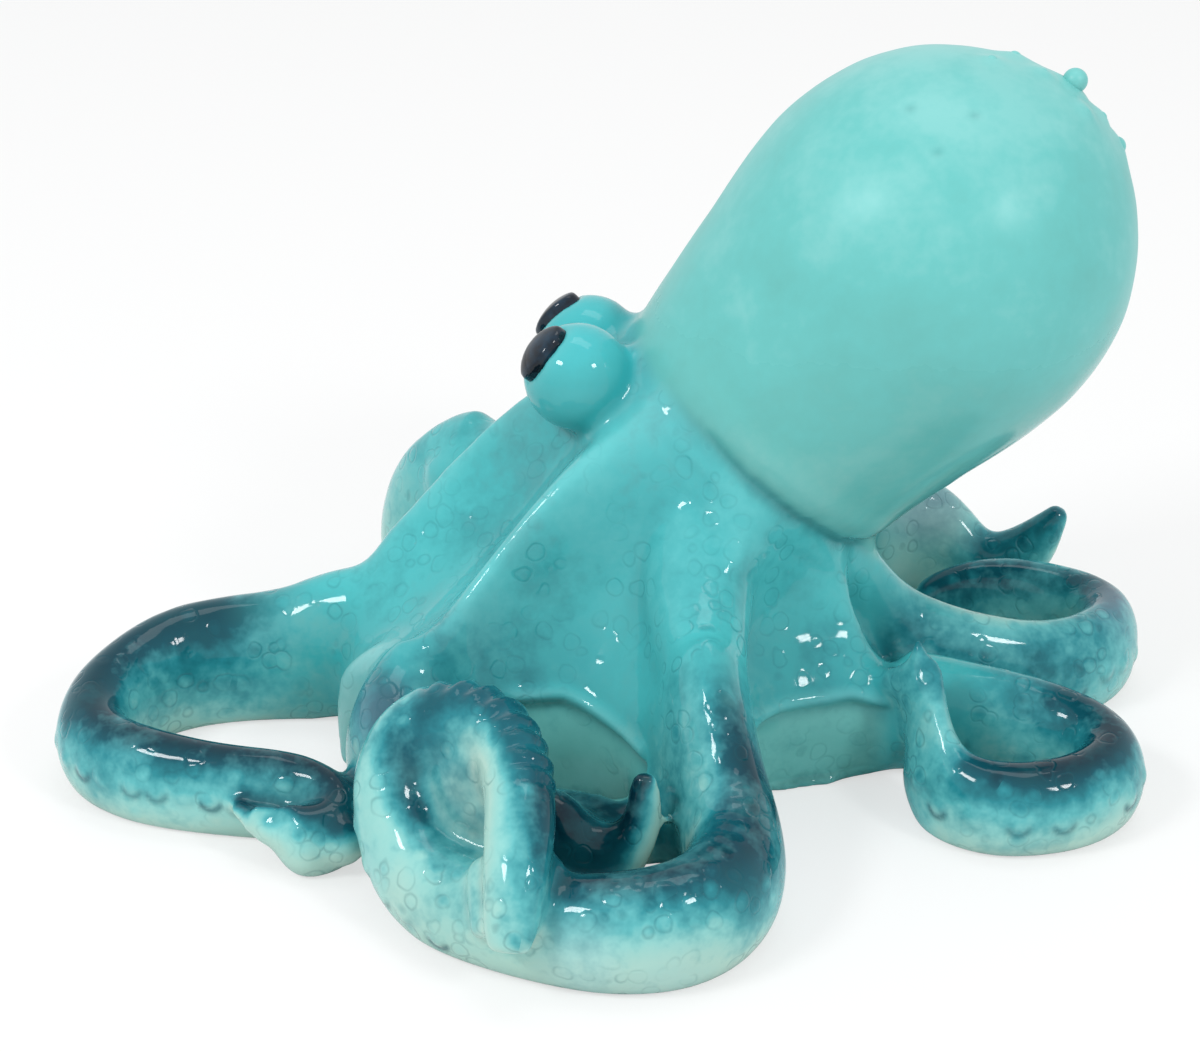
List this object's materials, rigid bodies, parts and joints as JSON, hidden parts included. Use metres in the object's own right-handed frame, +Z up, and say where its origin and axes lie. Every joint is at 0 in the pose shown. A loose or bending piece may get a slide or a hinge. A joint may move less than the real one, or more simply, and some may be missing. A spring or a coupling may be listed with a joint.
{
  "type": "octopus figurine",
  "caption": "Glazed ceramic octopus ornament with a tall leaning mantle, domed eyes, a ridged web and curling arms that lie on the table.",
  "frame": {"origin": "on the flat foot of the body, at the middle of the web's base", "axes": "+X from the face towards the tip of the mantle, +Y to the octopus's right, away from the viewer in the picture, +Z up from the table"},
  "size_m": [0.295, 0.255, 0.1875],
  "materials": {
    "mantle_glaze": "gloss pale turquoise glaze",
    "body_glaze": "gloss teal glaze, thin and paler on the ridges",
    "arm_glaze": "gloss dark teal glaze, paler green under the arms",
    "eye_glaze": "gloss teal glaze",
    "pupil_glaze": "gloss black glaze"
  },
  "bodies": {
    "root": {"body": "body_glaze", "mantle": "mantle_glaze", "left_eye": "eye_glaze", "right_eye": "eye_glaze", "left_pupil": "pupil_glaze", "right_pupil": "pupil_glaze", "warts": "mantle_glaze", "front_arm": "arm_glaze", "front_left_arm": "arm_glaze", "left_arm": "arm_glaze", "rear_left_arm": "arm_glaze", "rear_arm": "arm_glaze", "rear_right_arm": "arm_glaze", "right_arm": "arm_glaze", "front_right_arm": "arm_glaze"}
  },
  "joints": []
}
